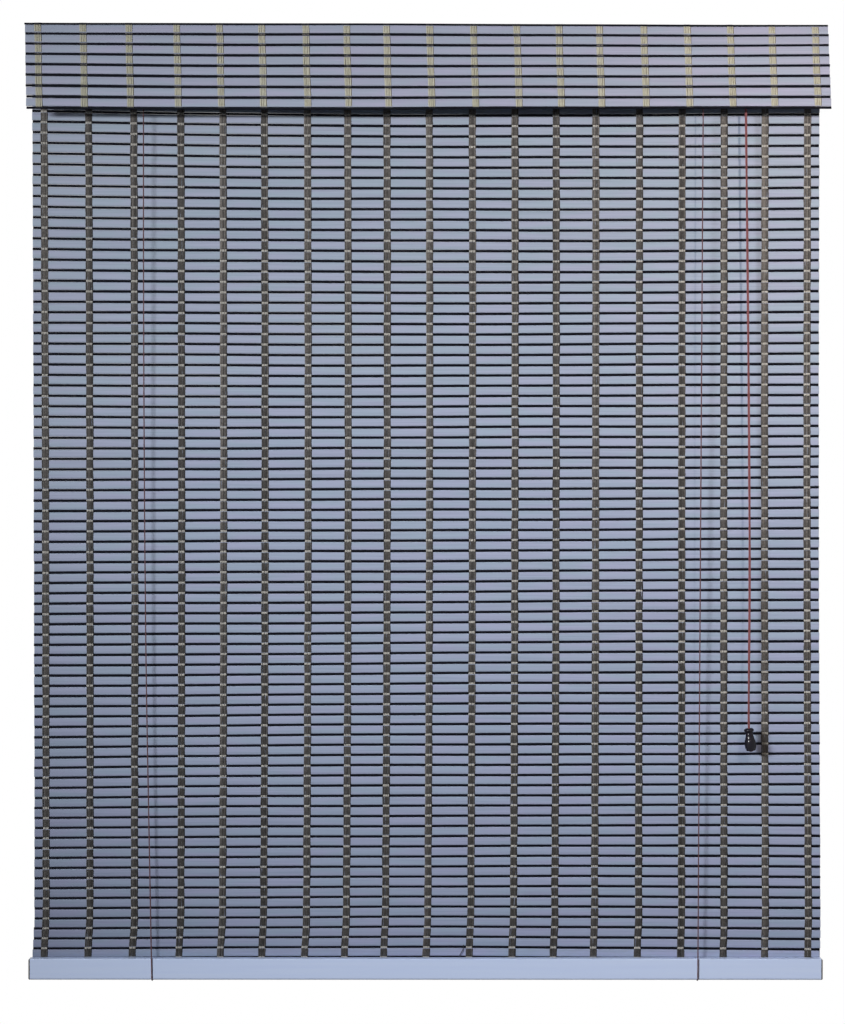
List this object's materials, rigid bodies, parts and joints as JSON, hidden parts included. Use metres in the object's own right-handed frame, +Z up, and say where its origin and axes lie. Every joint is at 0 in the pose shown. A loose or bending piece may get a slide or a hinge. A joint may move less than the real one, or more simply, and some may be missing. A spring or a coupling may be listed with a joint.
{
  "type": "roll-up blind",
  "caption": "Roll-up blind of woven painted slats folded over a headrail as a valance, with lift cords looped under a bottom rail, pulleys, a cord lock and a turned tassel.",
  "frame": {"origin": "middle of the top face of the cloth folded over the headrail, between the two ceiling screw holes", "axes": "+Z up, +X to the right seen from the front, the front faces -Y"},
  "size_m": [1.005, 0.0565, 1.2041],
  "materials": {
    "slat_paint": "painted, matt, blue-grey",
    "stick_black": "stained near-black",
    "dark_thread": "twisted cotton, grey-brown",
    "cream_thread": "twisted cotton, cream",
    "batten_wood": "planed softwood",
    "rail_paint": "painted, satin, pale blue-grey",
    "zinc_steel": "zinc plated",
    "sheave_plastic": "ivory nylon",
    "roller_brass": "satin",
    "cord_maroon": "braided, maroon",
    "tassel_lacquer": "turned, dark gloss lacquer"
  },
  "bodies": {
    "headrail": {"headrail": "batten_wood", "valance_slats": "slat_paint", "valance_sticks": "stick_black", "valance_inner_threads": "dark_thread", "valance_outer_threads": "cream_thread", "screen_slats": "slat_paint", "screen_sticks": "stick_black", "screen_front_threads": "dark_thread", "screen_back_threads": "cream_thread", "left_pulley_strap": "zinc_steel", "left_pulley_axle": "zinc_steel", "right_pulley_strap": "zinc_steel", "right_pulley_axle": "zinc_steel", "hardware_screws": "zinc_steel", "lock_housing": "zinc_steel", "lock_guide_axle": "zinc_steel", "left_screw_eye": "zinc_steel", "right_screw_eye": "zinc_steel", "left_cord_knot": "cord_maroon", "right_cord_knot": "cord_maroon", "left_lift_cord": "cord_maroon", "right_lift_cord": "cord_maroon", "left_top_cord": "cord_maroon", "right_top_cord": "cord_maroon", "pull_cord": "cord_maroon"},
    "bottom_rail": {"bottom_rail": "rail_paint"},
    "tassel": {"tassel": "tassel_lacquer", "tassel_knot": "cord_maroon"},
    "left_sheave": {"left_pulley_sheave": "sheave_plastic"},
    "right_lift_sheave": {"right_lift_sheave": "sheave_plastic"},
    "right_passing_sheave": {"right_passing_sheave": "sheave_plastic"},
    "guide_roller": {"lock_guide_roller": "sheave_plastic"},
    "pinch_roller": {"lock_pinch_roller": "roller_brass"}
  },
  "joints": [
    {"name": "lift", "type": "slide", "parent": "headrail", "child": "bottom_rail", "axis": [0, 0, 1], "range_m": [0, 1.1], "deforming": ["screen_slats", "screen_sticks", "screen_front_threads", "screen_back_threads", "left_lift_cord", "right_lift_cord"]},
    {"name": "tassel_drop", "type": "slide", "parent": "headrail", "child": "tassel", "axis": [0, 0, -1], "range_m": [0, 2.2], "deforming": ["pull_cord"]},
    {"name": "left_sheave_spin", "type": "hinge", "parent": "headrail", "child": "left_sheave", "pos_m": [-0.35135, -0.0014, -0.0358], "axis": [0, 1, 0], "continuous": true},
    {"name": "right_lift_sheave_spin", "type": "hinge", "parent": "headrail", "child": "right_lift_sheave", "pos_m": [0.35265, -0.0046, -0.0358], "axis": [0, 1, 0], "continuous": true},
    {"name": "right_passing_sheave_spin", "type": "hinge", "parent": "headrail", "child": "right_passing_sheave", "pos_m": [0.35265, -0.0014, -0.0358], "axis": [0, 1, 0], "continuous": true},
    {"name": "guide_roller_spin", "type": "hinge", "parent": "headrail", "child": "guide_roller", "pos_m": [0.39435, -0.003, -0.0358], "axis": [0, 1, 0], "continuous": true},
    {"name": "cord_grip", "type": "slide", "parent": "headrail", "child": "pinch_roller", "axis": [-0.5, 0, 0.866], "range_m": [0, 0.006]}
  ],
  "couplings": [
    {"joint": "tassel_drop", "follows": "lift", "ratio": 2},
    {"joint": "left_sheave_spin", "follows": "lift", "rad_per_m": 353.98},
    {"joint": "right_lift_sheave_spin", "follows": "lift", "rad_per_m": 353.98},
    {"joint": "right_passing_sheave_spin", "follows": "lift", "rad_per_m": 353.98},
    {"joint": "guide_roller_spin", "follows": "lift", "rad_per_m": 353.98}
  ]
}
